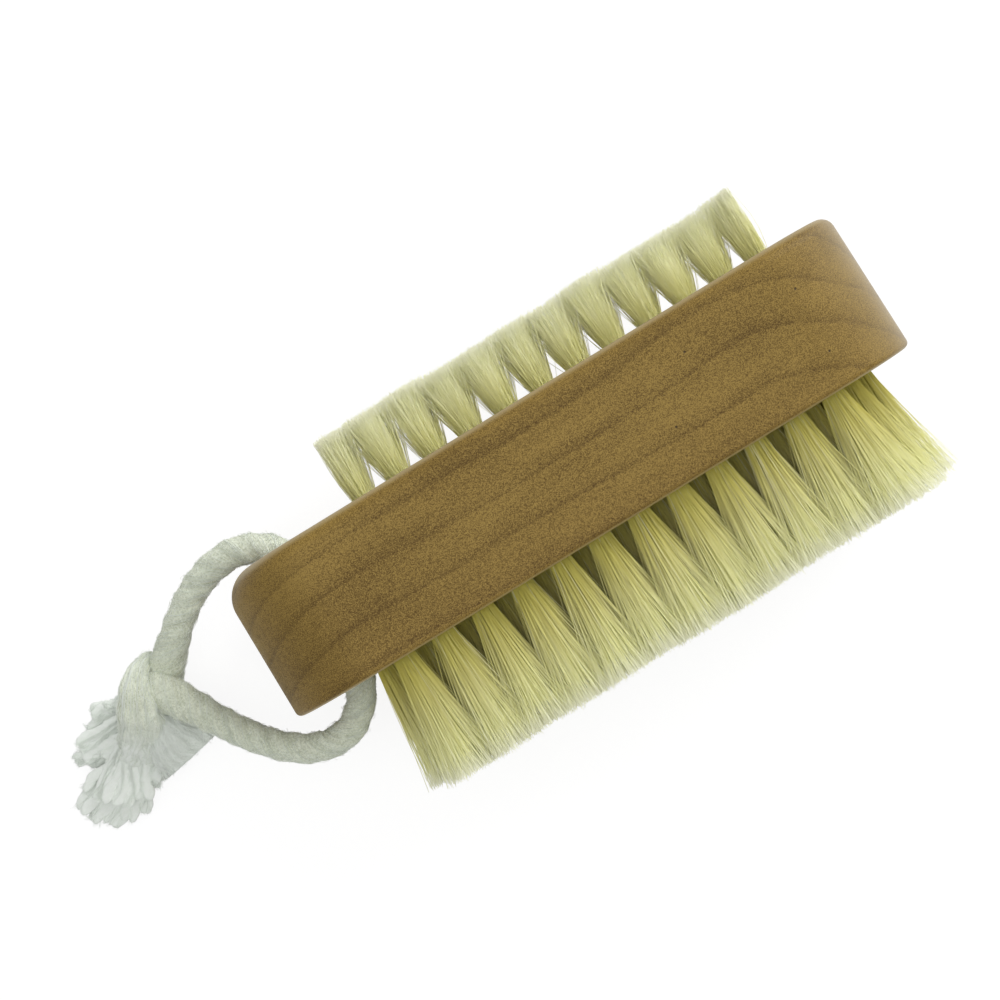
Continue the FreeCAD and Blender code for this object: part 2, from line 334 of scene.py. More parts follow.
class Finish:
    """The nodes of a material, or of the world, under construction."""

    def __init__(self, owner):
        self.owner = owner
        owner.use_nodes = True
        self.tree = owner.node_tree
        self.tree.nodes.clear()

    def node(self, kind, settings=None, sockets=None, out=0):
        """Adds a shader node, sets it up, fills its sockets, and gives one of its outputs."""
        made = self.tree.nodes.new("ShaderNode" + kind)
        for name, value in (settings or {}).items():
            setattr(made, name, value)
        for name, value in (sockets or {}).items():
            if isinstance(value, Value):
                self.tree.links.new(value.socket, made.inputs[name])
            else:
                made.inputs[name].default_value = value
        return Value(self, made.outputs[out]) if made.outputs else None

    def step(self, value, low, high):
        """0 below low, 1 above high and smooth between."""
        return self.node(
            "MapRange",
            {"interpolation_type": "SMOOTHSTEP"},
            {"Value": value, "From Min": low, "From Max": high},
        )

    def tint(self, share, first, second):
        """A mix of two colours."""
        first = first if isinstance(first, Value) else (*first, 1.0)
        second = second if isinstance(second, Value) else (*second, 1.0)
        return self.node("Mix", {"data_type": "RGBA"}, {0: share, 6: first, 7: second}, 2)

    def noise(self, place, scale=1.0, detail=2.0, roughness=0.5):
        """Smooth noise, about 0 to 1."""
        return self.node(
            "TexNoise", None, {"Vector": place, "Scale": scale, "Detail": detail, "Roughness": roughness}
        )

    def grain(self, place, scale, detail=2.0, roughness=0.5):
        """Smooth noise with its own scale along each axis."""
        stretched = self.node("VectorMath", {"operation": "MULTIPLY"}, {0: place, 1: scale})
        return self.noise(stretched, 1.0, detail, roughness)

    def own_tone(self, across, count):
        """A random tone for each strand, from its place across the map."""
        number = self.node("Math", {"operation": "FLOOR"}, {0: across * count})
        return self.node("TexWhiteNoise", {"noise_dimensions": "1D"}, {"W": number})

    def surface(self, shader, output="OutputMaterial"):
        """Ends the nodes with a shader."""
        self.node(output, None, {"Surface": shader})
        return self.owner

    def lit_through(self, share, shine, tone):
        """Ends the nodes with a shader that lets a share of the light through in one tone."""
        through = self.node("BsdfTranslucent", None, {"Color": (*tone, 1.0)})
        return self.surface(self.node("MixShader", None, {0: share, 1: shine, 2: through}))


def new_finish(name):
    """The nodes of a new material."""
    return Finish(bpy.data.materials.new(name))


def ring_frames(points):
    """Two unit vectors across a line at each of its points, turned as little as possible along it."""
    ahead = np.gradient(points, axis=0)
    ahead /= np.linalg.norm(ahead, axis=1)[:, None]
    side = NEARLY_DOWN
    sides = []
    for way in ahead:
        side = side - way * (side @ way)
        side = side / np.linalg.norm(side)
        sides.append(side)
    sides = np.array(sides)
    return sides, np.cross(ahead, sides)


def even_points(points, gap):
    """The same line with its points spaced evenly, and their distances along it."""
    steps = np.linalg.norm(np.diff(points[:, :3], axis=0), axis=1)
    at = np.concatenate([[0.0], np.cumsum(steps)])
    wanted = np.linspace(0.0, at[-1], max(int(at[-1] / gap), 4))
    return np.stack([np.interp(wanted, at, column) for column in points.T], 1), wanted


def spline_points(controls):
    """Points of a smooth line, read from a spline on its control points."""
    curve = bpy.data.curves.new("route", "CURVE")
    curve.dimensions = "3D"
    curve.resolution_u = 24
    spline = curve.splines.new("NURBS")
    spline.points.add(len(controls) - 1)
    for point, place in zip(spline.points, controls):
        point.co = (*place, 1.0)
    spline.order_u = 3
    spline.use_endpoint_u = True
    holder = bpy.data.objects.new("route", curve)
    line = bpy.data.meshes.new_from_object(holder)
    points = np.array([tuple(vertex.co) for vertex in line.vertices])
    bpy.data.meshes.remove(line)
    bpy.data.objects.remove(holder)
    bpy.data.curves.remove(curve)
    return points


def face_mesh(name, points, quads, triangles, map_name, quad_places, triangle_places, smooth=True):
    """A mesh from arrays of points and faces, with a place on a map for each corner of a face."""
    mesh = bpy.data.meshes.new(name)
    corners = np.concatenate([quads.ravel(), triangles.ravel()]).astype(np.int32)
    starts = np.concatenate([np.arange(len(quads)) * 4, len(quads) * 4 + np.arange(len(triangles)) * 3])
    places = np.concatenate([quad_places.reshape(-1, 2), triangle_places.reshape(-1, 2)])
    mesh.vertices.add(len(points))
    mesh.vertices.foreach_set("co", np.asarray(points, np.float32).ravel())
    mesh.loops.add(len(corners))
    mesh.loops.foreach_set("vertex_index", corners)
    mesh.polygons.add(len(starts))
    mesh.polygons.foreach_set("loop_start", starts.astype(np.int32))
    mesh.update(calc_edges=True)
    mesh.polygons.foreach_set("use_smooth", np.full(len(starts), smooth))
    layer = mesh.uv_layers.new(name=map_name)
    layer.uv.foreach_set("vector", np.asarray(places, np.float32).ravel())
    mesh.validate()
    made = bpy.data.objects.new(name, mesh)
    bpy.context.scene.collection.objects.link(made)
    return made


def strand_mesh(name, lines, radii, tones, sides=3, streaks=0.008):
    """Closed tubes in one mesh. lines is (strands, stations, 3), radii (strands, stations), tones (strands).
    On the map, u is the strand's own tone, spread by streaks round the tube, and v runs along it."""
    count, stations, _ = lines.shape
    ahead = np.gradient(lines, axis=1)
    ahead /= np.linalg.norm(ahead, axis=2)[..., None] + 1e-12
    first = np.cross(ahead, SLANT)
    first /= np.linalg.norm(first, axis=2)[..., None] + 1e-12
    second = np.cross(ahead, first)
    turns = 2 * np.pi * np.arange(sides) / sides
    ring = first[:, :, None] * np.cos(turns)[:, None] + second[:, :, None] * np.sin(turns)[:, None]
    points = lines[:, :, None] + ring * radii[:, :, None, None]
    base = (np.arange(count) * stations * sides)[:, None, None]
    along = (np.arange(stations - 1) * sides)[None, :, None]
    around = np.arange(sides)[None, None, :]
    after = (np.arange(sides) + 1)[None, None, :] % sides
    low, high = base + along, base + along + sides
    quads = np.stack([low + around, low + after, high + after, high + around], -1).reshape(-1, 4)
    foot = base[:, 0, 0]
    top = foot + (stations - 1) * sides
    fans = [np.stack([foot, foot + i + 1, foot + i], 1) for i in range(1, sides - 1)]
    fans += [np.stack([top, top + i, top + i + 1], 1) for i in range(1, sides - 1)]
    fans = np.concatenate(fans)
    u = tones[:, None, None] * TONE_SPAN + TONE_START + streaks * np.arange(sides) / sides
    u = u + np.zeros((1, stations, 1))
    v = np.linspace(0.01, 0.99, stations)[None, :, None] + np.zeros_like(u)
    places = np.stack([u, v], -1).reshape(-1, 2)
    points, smooth = points.reshape(-1, 3), sides > FLAT_SIDES
    return face_mesh(name, points, quads, fans, "OFBake", places[quads], places[fans], smooth)


def tube_parts(rings, along, twist):
    """Points, quads, end triangles and places on the map of a closed tube through rings of points.
    On the map, u goes round the tube with its twist and v along it."""
    stations, around, _ = rings.shape
    low = (np.arange(stations - 1) * around)[:, None]
    here, after = np.arange(around)[None], ((np.arange(around) + 1) % around)[None]
    quads = np.stack([low + here, low + after, low + around + after, low + around + here], -1).reshape(-1, 4)
    points = np.concatenate([rings.reshape(-1, 3), [rings[0].mean(0), rings[-1].mean(0)]])
    here, after = here[0], after[0]
    last = (stations - 1) * around
    foot = np.stack([np.full(around, len(points) - 2), after, here], 1)
    top = np.stack([np.full(around, len(points) - 1), last + here, last + after], 1)
    u = np.arange(around + 1)[None] / around - twist[:, None] / (2 * np.pi)
    places = np.stack([u, np.broadcast_to(along[:, None], u.shape)], -1)
    spots = np.stack([places[:-1, :-1], places[:-1, 1:], places[1:, 1:], places[1:, :-1]], 2)
    ends = np.concatenate([np.repeat(places[:1, :-1], 3, 0), np.repeat(places[-1:, :-1], 3, 0)])
    ends = np.concatenate([ends[:3].transpose(1, 0, 2), ends[3:].transpose(1, 0, 2)])
    return points, quads, np.concatenate([foot, top]), spots.reshape(-1, 4, 2), ends


def tube_mesh(name, parts):
    """One mesh from the parts of one or more tubes."""
    points, quads, fans, spots, ends = [], [], [], [], []
    for part in parts:
        start = sum(len(some) for some in points)
        points.append(part[0])
        quads.append(part[1] + start)
        fans.append(part[2] + start)
        spots.append(part[3])
        ends.append(part[4])
    joined = [np.concatenate(some) for some in (points, quads, fans, spots, ends)]
    return face_mesh(name, joined[0], joined[1], joined[2], "twist_map", joined[3], joined[4])


def lumps(rng, at, turn, size):
    """Soft uneven swellings along and round a tube."""
    swell = 0.0
    for pace in LUMP_PACES:
        height, start = rng.normal(0, size), rng.uniform(0, FULL_TURN)
        swell = swell + height * np.sin(at * pace / MM + rng.integers(1, 4) * turn + start)
    return swell


def rope_rings(line, radius, lay, seed, around=30):
    """Rings of a soft three-strand rope along a line, its distances along it and its twist. It swells
    towards the knot at its far end."""
    line, at = even_points(line, ROPE_STEP)
    side, up = ring_frames(line)
    turn = 2 * np.pi * np.arange(around) / around
    twist = 2 * np.pi * at / lay
    local = turn[None] - twist[:, None]
    swell = lumps(np.random.default_rng(seed), at[:, None], turn[None], ROPE_LUMPS)
    near_knot = np.clip((at - at[-1] + SWELL_START) / SWELL_RUN, 0.0, 1.0)
    swell = swell + KNOT_SWELL * near_knot[:, None] ** 1.5
    reach = radius * (1.0 + STRAND_RELIEF * np.cos(3 * local) + swell)
    ring = side[:, None] * np.cos(turn)[None, :, None] + up[:, None] * np.sin(turn)[None, :, None]
    return line[:, None] + ring * reach[..., None], at, twist


def bundle_rings(line, sizes, side, ridges, turns, seed, around=40):
    """Rings of a flat bundle of yarns along a line, with half its width and thickness at each point."""
    joined, at = even_points(np.concatenate([line, sizes], 1), BUNDLE_STEP)
    line, sizes = joined[:, :3], joined[:, 3:]
    ahead = np.gradient(line, axis=0)
    ahead /= np.linalg.norm(ahead, axis=1)[:, None]
    wide = np.array(side)[None] - ahead * (ahead @ np.array(side))[:, None]
    wide /= np.linalg.norm(wide, axis=1)[:, None]
    high = np.cross(ahead, wide)
    turn = 2 * np.pi * np.arange(around) / around
    twist = 2 * np.pi * turns * at / at[-1]
    swell = lumps(np.random.default_rng(seed), at[:, None], turn[None], BUNDLE_LUMPS)
    wander = 0.8 * np.sin(2 * turn[None] + at[:, None] / MM)
    scale = 1.0 + swell + YARN_RELIEF * np.cos(ridges * (turn[None] - twist[:, None]) + wander)
    ring = wide[:, None] * (sizes[:, :1] * np.cos(turn) * scale)[..., None]
    ring = ring + high[:, None] * (sizes[:, 1:] * np.sin(turn) * scale)[..., None]
    return line[:, None] + ring, at, twist


def surface_fibres(rng, rings, twist, count, span, thickness):
    """Lines, radii and tones of loose fibres that lie on a tube and run along it with its twist."""
    length, around, _ = rings.shape
    share = np.linspace(0.0, 1.0, 9)
    start = rng.uniform(-0.3 * span, length - 0.5 * span, count)[:, None]
    at = np.clip(start + span * rng.uniform(0.4, 1.1, count)[:, None] * share, 0, length - 1.001)
    low = at.astype(int)
    part = (at - low)[..., None]
    turn = rng.uniform(0, around, count)[:, None]
    turn = turn + np.interp(at, np.arange(length), twist) * around / (2 * np.pi)
    turn = turn + around * 0.03 * rng.normal(0, 1, (count, 1)) * np.sin(share * rng.uniform(3, 9, (count, 1)))
    left = np.floor(turn).astype(int)
    side = (turn - left)[..., None]
    left, right = left % around, (left + 1) % around
    near = rings[low, left] * (1 - side) + rings[low, right] * side
    far = rings[low + 1, left] * (1 - side) + rings[low + 1, right] * side
    middle = rings.mean(1)
    middle = middle[low] * (1 - part) + middle[low + 1] * part
    off = near * (1 - part) + far * part - middle
    lift = rng.uniform(-0.02, 0.05, count)[:, None]
    lift = lift + rng.exponential(0.025, count)[:, None] * np.sin(np.pi * share)
    lines = middle + off * (1.0 + lift)[..., None]
    lines[..., 2] = np.maximum(lines[..., 2], LYING_CLEAR)
    radii = thickness / 2 * rng.uniform(0.7, 1.3, count)[:, None] * (1.0 - 0.5 * np.abs(2 * share - 1) ** 3)
    return lines, radii, rng.random(count)


def first_part(line, size):
    """The line up to a share of its length, or a little past 1, with as many points as before."""
    at = np.linspace(0.0, size * (len(line) - 1), len(line))
    low = np.clip(at.astype(int), 0, len(line) - 2)
    return line[low] + (line[low + 1] - line[low]) * (at - low)[:, None]


def put_on(piece, material, body, slot_name, *nodes):
    """Gives a piece its finish, lets it ride on its body and stand for its solids."""
    piece.data.materials.clear()
    piece.data.materials.append(material)
    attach(piece, body)
    if nodes:
        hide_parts(*nodes)
    return piece


def tuft_centres(node):
    """The (X, Z) of each tuft of a node, from the parts of its mesh that stand in the wood."""
    mesh = frame["nodes"][node].data
    points = np.zeros(len(mesh.vertices) * 3)
    mesh.vertices.foreach_get("co", points)
    points = points.reshape(-1, 3)
    roots = points[(points[:, 1] > SCRUB_FACE + MM) & (points[:, 1] < NAIL_FACE - MM)]
    across = np.sort(roots[:, 0])
    groups = np.split(across, np.flatnonzero(np.diff(across) > TUFT_GAP) + 1)
    height = (roots[:, 2].min() + roots[:, 2].max()) / 2
    return [((group.min() + group.max()) / 2, height) for group in groups]


def make_wood(settings):
    """Oiled, fine-sanded wood: growth rings round a distant pith, fine flecks, pores, pale edges that are
    part sanded wear and part painted highlight, and a painted highlight on the end that faces +X.
    """
    wood = new_finish("fine_sanded_wood")
    place = wood.node("TexCoord", out="Object")
    x = wood.node("SeparateXYZ", None, {0: place})
    y, z = x.other("Y"), x.other("Z")
    sway = wood.grain(place, (22.0, 60.0, 60.0))
    ripple = wood.grain(place, (90.0, 420.0, 420.0), 3.0, 0.6)
    wider = 1.0 - wood.step(x, -0.010, 0.030) * 0.18
    bent = y * wider + wood.step(x, 0.027, 0.047) * 0.0044
    off_y, off_z = bent - PITH_Y, z - PITH_Z
    distance = (off_y * off_y + off_z * off_z) ** 0.5
    wander = (sway - 0.5) * RING_SWAY + (ripple - 0.5) * RING_RIPPLE
    rings = (distance - PITH_REACH + wander) / settings.ring_gap
    part = wood.node("Math", {"operation": "FRACT"}, {0: rings + 40.0})
    fade = 1.0 - wood.step(part, 0.93, 1.0)
    late = wood.step(part, 0.45, 0.93) * fade
    line = wood.step(part, 0.80, 0.93) * fade
    fleck = wood.step(wood.grain(place, (8000.0, 9500.0, 9500.0), 1.0, 0.6), 0.25, 0.75)
    grit = wood.grain(place, (1500.0, 2600.0, 2600.0), 2.0, 0.6)
    streak = wood.grain(place, (110.0, 1500.0, 1500.0), 3.0, 0.6)
    cloud = wood.grain(place, (45.0, 120.0, 120.0), 3.0, 0.55)
    share = 0.36 + late * 0.16 + line * 0.14 + (fleck - 0.5) * 1.35 + (grit - 0.5) * 0.5
    share = share + (streak - 0.5) * 0.45 + (cloud - 0.5) * 0.95
    base = wood.tint(wood.step(share, -0.3, 1.2), settings.pale, settings.dark)
    facing = wood.node("NewGeometry", out="Normal")
    outward = wood.node("SeparateXYZ", None, {0: facing})
    # Painted highlight: normals that face +X, towards the key lamp, tint the wood towards the edge colour and
    # get more coat, so that end looks lit; the -X end gets none.
    tilt, end = outward.other("Y"), wood.step(outward, 0.35, 0.95)
    # Partly sanded wear, partly painted highlight: the rounded edges turn towards the edge colour, more
    # strongly on the scrub side.
    edge = wood.step(tilt * tilt, 0.30, 0.75) * (1.0 - wood.step(tilt * tilt, 0.97, 1.0))
    sharper = wood.step(tilt * -1.0, 0.0, 0.5)
    base = wood.tint(edge * (0.65 + sharper * 0.3) + end * 0.25, base, settings.edge)
    cell = wood.node("TexVoronoi", {"feature": "F1"}, {"Vector": place, "Scale": 78.0})
    chosen = wood.node("SeparateColor", None, {0: cell.other("Color")})
    pore = (1.0 - wood.step(cell, 0.012, 0.022)) * wood.step(chosen, 0.55, 0.60)
    for pore_x, pore_y in PORES:
        off_x, off_y = x - pore_x * MM, y - pore_y * MM
        spot = 1.0 - wood.step((off_x * off_x + off_y * off_y) ** 0.5, 0.00009, 0.00024)
        pore = pore + spot * wood.step(z, 0.030, 0.032)
    base = wood.tint(pore * 0.85, base, PORE_COLOUR)
    height = fleck * 0.5 + grit * 0.6 - late * 0.3 - pore * 2.0
    relief = wood.node("Bump", None, {"Strength": 0.4, "Distance": 0.00006, "Height": height})
    shader = wood.node(
        "BsdfPrincipled",
        None,
        {
            "Base Color": base,
            "Roughness": 0.52 + (fleck - 0.5) * 0.16 + (cloud - 0.5) * 0.15,
            "Specular IOR Level": 0.22,
            # The extra coat on the +X end is part of its painted highlight.
            "Coat Weight": edge * 0.35 + end * 0.7,
            "Coat Roughness": 0.4,
            "Normal": relief,
        },
    )
    return wood.surface(shader)


def make_wire():
    """Drawn flat wire: fine lengthwise scratches on dull steel."""
    wire = new_finish("drawn_flat_wire")
    place = wire.node("TexCoord", out="Object")
    scratch = wire.grain(place, (9000.0, 9000.0, 700.0), 2.0, 0.6)
    shader = wire.node(
        "BsdfPrincipled",
        None,
        {
            "Base Color": wire.tint(scratch, (0.46, 0.46, 0.45), (0.66, 0.66, 0.64)),
            "Metallic": 1.0,
            "Roughness": 0.28 + scratch * 0.25,
        },
    )
    return wire.surface(shader)


def make_bristle(name, root, tip, inside):
    """Pale plant-fibre bristle: each has its own tone, with painted shade darker towards the root, painted
    light paler and nearly white towards the tip, and a painted highlight on a random few.
    """
    bristle = new_finish(name)
    places = bristle.node("UVMap", {"uv_map": "OFBake"})
    across = bristle.node("SeparateXYZ", None, {0: places})
    along = across.other("Y")
    tone = bristle.own_tone(across, count=97.0)
    streak = bristle.grain(places, (180.0, 5.0, 1.0))
    # Painted shade and light: darker towards the root where the tufts shade each other, paler towards the
    # tip.
    base = bristle.tint(bristle.step(along + (streak - 0.5) * 0.25, 0.0, 0.95), root, tip)
    base = bristle.tint(tone * 0.22, base, root)
    # Painted highlight: a random few strands turn nearly white.
    base = bristle.tint(bristle.step(tone, 0.84, 0.95) * 0.4, base, (0.97, 0.98, 0.80))
    # Painted light: the last fifth towards the tip turns nearly white, for light that comes through the thin
    # tips.
    base = bristle.tint(bristle.step(along, 0.80, 1.0) * 0.7, base, (0.98, 0.99, 0.86))
    shine = bristle.node(
        "BsdfPrincipled",
        None,
        {"Base Color": base, "Roughness": 0.45 + tone * 0.15, "Specular IOR Level": 0.3},
    )
    return bristle.lit_through(0.12, shine, inside)


def make_cotton(name, tone, crease_shade_and_mottle, across, along, relief_share, end=None):
    """Soft cotton: yarns that run with the twist, with painted shade between them, dull and with a little
    sheen. across and along say how fine they are on the map, and end is the colour that a band turns to on
    its way."""
    cotton = new_finish(name)
    places = cotton.node("UVMap", {"uv_map": "twist_map"})
    place = cotton.node("TexCoord", out="Object")
    own = cotton.node("SeparateXYZ", None, {0: places})
    wave = cotton.node("Math", {"operation": "COSINE"}, {0: own * (6 * math.pi)})
    # Painted shade in the three grooves between the strands.
    groove_shade = cotton.step(wave * -1.0, 0.2, 1.0)
    yarn = cotton.grain(places, (across, along, 1.0), 3.0, 0.65)
    soft = cotton.noise(place, 700.0, 3.0, 0.6)
    speck = cotton.noise(place, 3300.0, 2.0, 0.7)
    share = 0.36 + groove_shade * 0.16 + (yarn - 0.5) * 0.7 + (soft - 0.5) * 0.7 + (speck - 0.5) * 2.6
    base = cotton.tint(cotton.step(share, -0.2, 1.2), tone, crease_shade_and_mottle)
    if end:
        base = cotton.tint(cotton.step(own.other("Y") + (yarn - 0.5) * 0.006, 0.019, 0.028), base, end)
    height = yarn * 0.8 + soft * 0.4 + speck * 0.7
    relief = cotton.node("Bump", None, {"Strength": relief_share, "Distance": 0.00022, "Height": height})
    shine = cotton.node(
        "BsdfPrincipled",
        None,
        {
            "Base Color": base,
            "Roughness": 0.9,
            "Specular IOR Level": 0.12,
            "Sheen Weight": 0.3,
            "Sheen Roughness": 0.5,
            "Normal": relief,
        },
    )
    return cotton.lit_through(0.04, shine, tone)


def make_fibre(name, tone, shade):
    """Loose cotton fibre: dull, each with its own tone, and letting a little light through."""
    fibre = new_finish(name)
    places = fibre.node("UVMap", {"uv_map": "OFBake"})
    own = fibre.own_tone(fibre.node("SeparateXYZ", None, {0: places}), count=61.0)
    base = fibre.tint(own * 0.5, tone, shade)
    shine = fibre.node(
        "BsdfPrincipled", None, {"Base Color": base, "Roughness": 0.85, "Specular IOR Level": 0.15}
    )
    return fibre.lit_through(0.12, shine, tone)


class TuftKind(NamedTuple):
    """What long and short tufts differ in. Lengths are in metres."""

    finish: bpy.types.Material
    count: int
    radius: float
    face: float
    way: int
    reach: float
    spread: float
    flare: float
    jitter: float
    core_fill: float


def bristle_lines(rng, centre, kind, sides):
    """The lines, radii and tones of one tuft's bristles. sides are the shares of its flare that it keeps
    towards -X and +X."""
    root_radius = bpy.context.scene.brush_bristles.root_radius
    count = kind.count
    share = ((np.arange(count) + 0.5) / count) ** FILL_POWER
    turn = np.arange(count) * GOLDEN_TURN + rng.uniform(0, FULL_TURN)
    root = np.stack([np.cos(turn), np.sin(turn)], 1) * share[:, None] * root_radius
    root += rng.normal(0, ROOT_SCATTER, root.shape)
    lean = rng.normal(0, TUFT_LEAN, 2)
    tip = root * (kind.spread / root_radius) + lean + rng.normal(0, kind.jitter, root.shape)
    stray = rng.random(count) < STRAY_SHARE
    tip[stray] *= rng.uniform(*STRAY_FLARE, (int(stray.sum()), 1))
    apart = tip[:, 0] - root[:, 0]
    tip[:, 0] = root[:, 0] + apart * np.where(apart < 0, sides[0], sides[1])
    cut = kind.reach - CUT_BELOW + rng.normal(0, TUFT_CUT_SCATTER) + rng.normal(0, CUT_SCATTER, count)
    short = rng.random(count) < SHORT_SHARE
    cut[short] -= rng.uniform(*SHORT_LOSS, int(short.sum()))
    bend = rng.normal(0, BRISTLE_BEND, root.shape)
    bend[stray] *= STRAY_BEND
    along = np.linspace(0.0, 1.0, BRISTLE_STATIONS)
    grow = along**kind.flare
    flat = root[:, None] + (tip - root)[:, None] * grow[None, :, None]
    flat += bend[:, None] * np.sin(np.pi * along)[None, :, None]
    out = -ROOT_DEPTH + (cut + ROOT_DEPTH)[:, None] * along[None]
    table = (TABLE_GAP - centre[1]) + rng.uniform(0.0, TABLE_SCATTER, count)[:, None]
    flat[..., 1] = np.maximum(flat[..., 1], table)
    lines = np.stack([centre[0] + flat[..., 0], kind.face + kind.way * out, centre[1] + flat[..., 1]], -1)
    thick = kind.radius * rng.uniform(0.78, 1.15, count)
    radii = thick[:, None] * (1.0 - BRISTLE_TAPER * along)[None]
    return lines, radii, rng.random(count)


class NAILBRUSH_OT_stock(bpy.types.Operator):
    """Gives the wooden stock its grain and the flat wire anchors their steel"""

    bl_idname = "nailbrush.stock"
    bl_label = "Dress Stock"

    def execute(self, context):
        stock = frame["nodes"]["wood_stock"]
        stock.data.materials.clear()
        stock.data.materials.append(make_wood(context.scene.brush_stock))
        wire = make_wire()
        for name in ANCHORS:
            anchors = frame["nodes"][name].data
            anchors.materials.clear()
            anchors.materials.append(wire)
        return {"FINISHED"}


class NAILBRUSH_OT_bristles(bpy.types.Operator):
    """Sets single bristles in the long scrub tufts and the short nail tufts"""

    bl_idname = "nailbrush.bristles"
    bl_label = "Set Bristles"

    def execute(self, context):
        settings = context.scene.brush_bristles
        inside = settings.inside
        long_tufts = TuftKind(
            finish=make_bristle("long_plant_bristle", settings.scrub_root, settings.scrub_tip, inside),
            count=settings.per_tuft,
            radius=settings.thickness / 2,
            face=SCRUB_FACE,
            way=-1,
            reach=SCRUB_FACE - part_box(SCRUB_ROWS[0])[0].y,
            spread=settings.scrub_spread,
            flare=1.4,
            jitter=0.00058,
            core_fill=1.25,
        )
        short_tufts = TuftKind(
            finish=make_bristle("short_plant_bristle", settings.nail_root, settings.nail_tip, inside),
            count=settings.per_nail_tuft,
            radius=settings.thickness / 2 * NAIL_SLIMNESS,
            face=NAIL_FACE,
            way=1,
            reach=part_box(NAIL_TUFTS[0])[1].y - NAIL_FACE,
            spread=settings.nail_spread,
            flare=1.0,
            jitter=0.00075,
            core_fill=1.52,
        )
        rng = np.random.default_rng(41)
        for name in SCRUB_ROWS:
            self.tufts(rng, name, long_tufts, SCRUB_ENDS)
        for name in NAIL_TUFTS:
            first = NAIL_ENDS[0] if name == NAIL_TUFTS[0] else 1.0
            last = NAIL_ENDS[1] if name == NAIL_TUFTS[-1] else 1.0
            self.tufts(rng, name, short_tufts, (first, last))
        return {"FINISHED"}

    def tufts(self, rng, node, kind, ends):
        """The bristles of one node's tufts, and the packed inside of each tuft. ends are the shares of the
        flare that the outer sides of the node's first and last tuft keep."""
        centres = tuft_centres(node)
        made = []
        for centre in centres:
            sides = (ends[0] if centre is centres[0] else 1.0, ends[1] if centre is centres[-1] else 1.0)
            made.append(bristle_lines(rng, centre, kind, sides))
        lines, radii, tones = (np.concatenate(part) for part in zip(*made))
        name = node.replace("tufts", "bristles").replace("tuft", "bristles")
        put_on(strand_mesh(name, lines, radii, tones), kind.finish, "brush", "bristle", node)
        cores = np.array([part[0].mean(0) for part in made])
        fill = np.array(CORE_PROFILE) * kind.core_fill
        width = np.array([part[0][..., ::2].std(0).min(1) * fill for part in made])
        cores[:, -1] = cores[:, -2] * (1.0 - CORE_END) + cores[:, -1] * CORE_END
        tones = rng.uniform(0.0, CORE_TONE, len(cores))
        core = strand_mesh(name + "_packed_inside", cores, width, tones, CORE_SIDES, CORE_STREAKS)
        put_on(core, kind.finish, "brush", "bristle")


def rope_points():
    """The rope's smooth line through the stock, from knot to knot."""
    places = []
    for reach, across, lift in ROPE_ROUTE:
        share = reach / LOOP_REACH
        x = ROPE_HOLE.x - share * LOOP_RUN * MM
        z = ROPE_HOLE.z - share * LOOP_DROP * MM + lift * MM
        places.append((x, across * MM, z))
    return spline_points(places)


def fuzz_lines(rng, piece, count, reach):
    """Short loose fibres that stand off a rope's surface."""
    mesh = piece.data
    picks = rng.integers(0, len(mesh.vertices), count)
    points = np.array([tuple(mesh.vertices[int(i)].co) for i in picks])
    out = np.array([tuple(mesh.vertices[int(i)].normal) for i in picks])
    along = np.cross(out, rng.normal(0, 1, (count, 3)))
    along /= np.linalg.norm(along, axis=1)[:, None] + 1e-9
    share = np.linspace(0, 1, FUR_STATIONS)[None, :, None]
    size = (reach * rng.uniform(0.4, 1.3, count))[:, None, None]
    lift = rng.uniform(0.1, 0.55, count)[:, None, None]
    curl = np.cross(out, along)[:, None] * rng.normal(0, 0.35, count)[:, None, None]
    lines = points[:, None] - out[:, None] * FUR_DEPTH
    bow = along[:, None] * share + out[:, None] * lift * np.sin(2.4 * share) + curl * share**2
    lines = lines + size * bow
    lines[..., 2] = np.maximum(lines[..., 2], LOOSE_CLEAR)
    radii = np.full((count, FUR_STATIONS), FUR_RADIUS) * rng.uniform(0.7, 1.4, (count, 1))
    return lines, radii, rng.random(count)


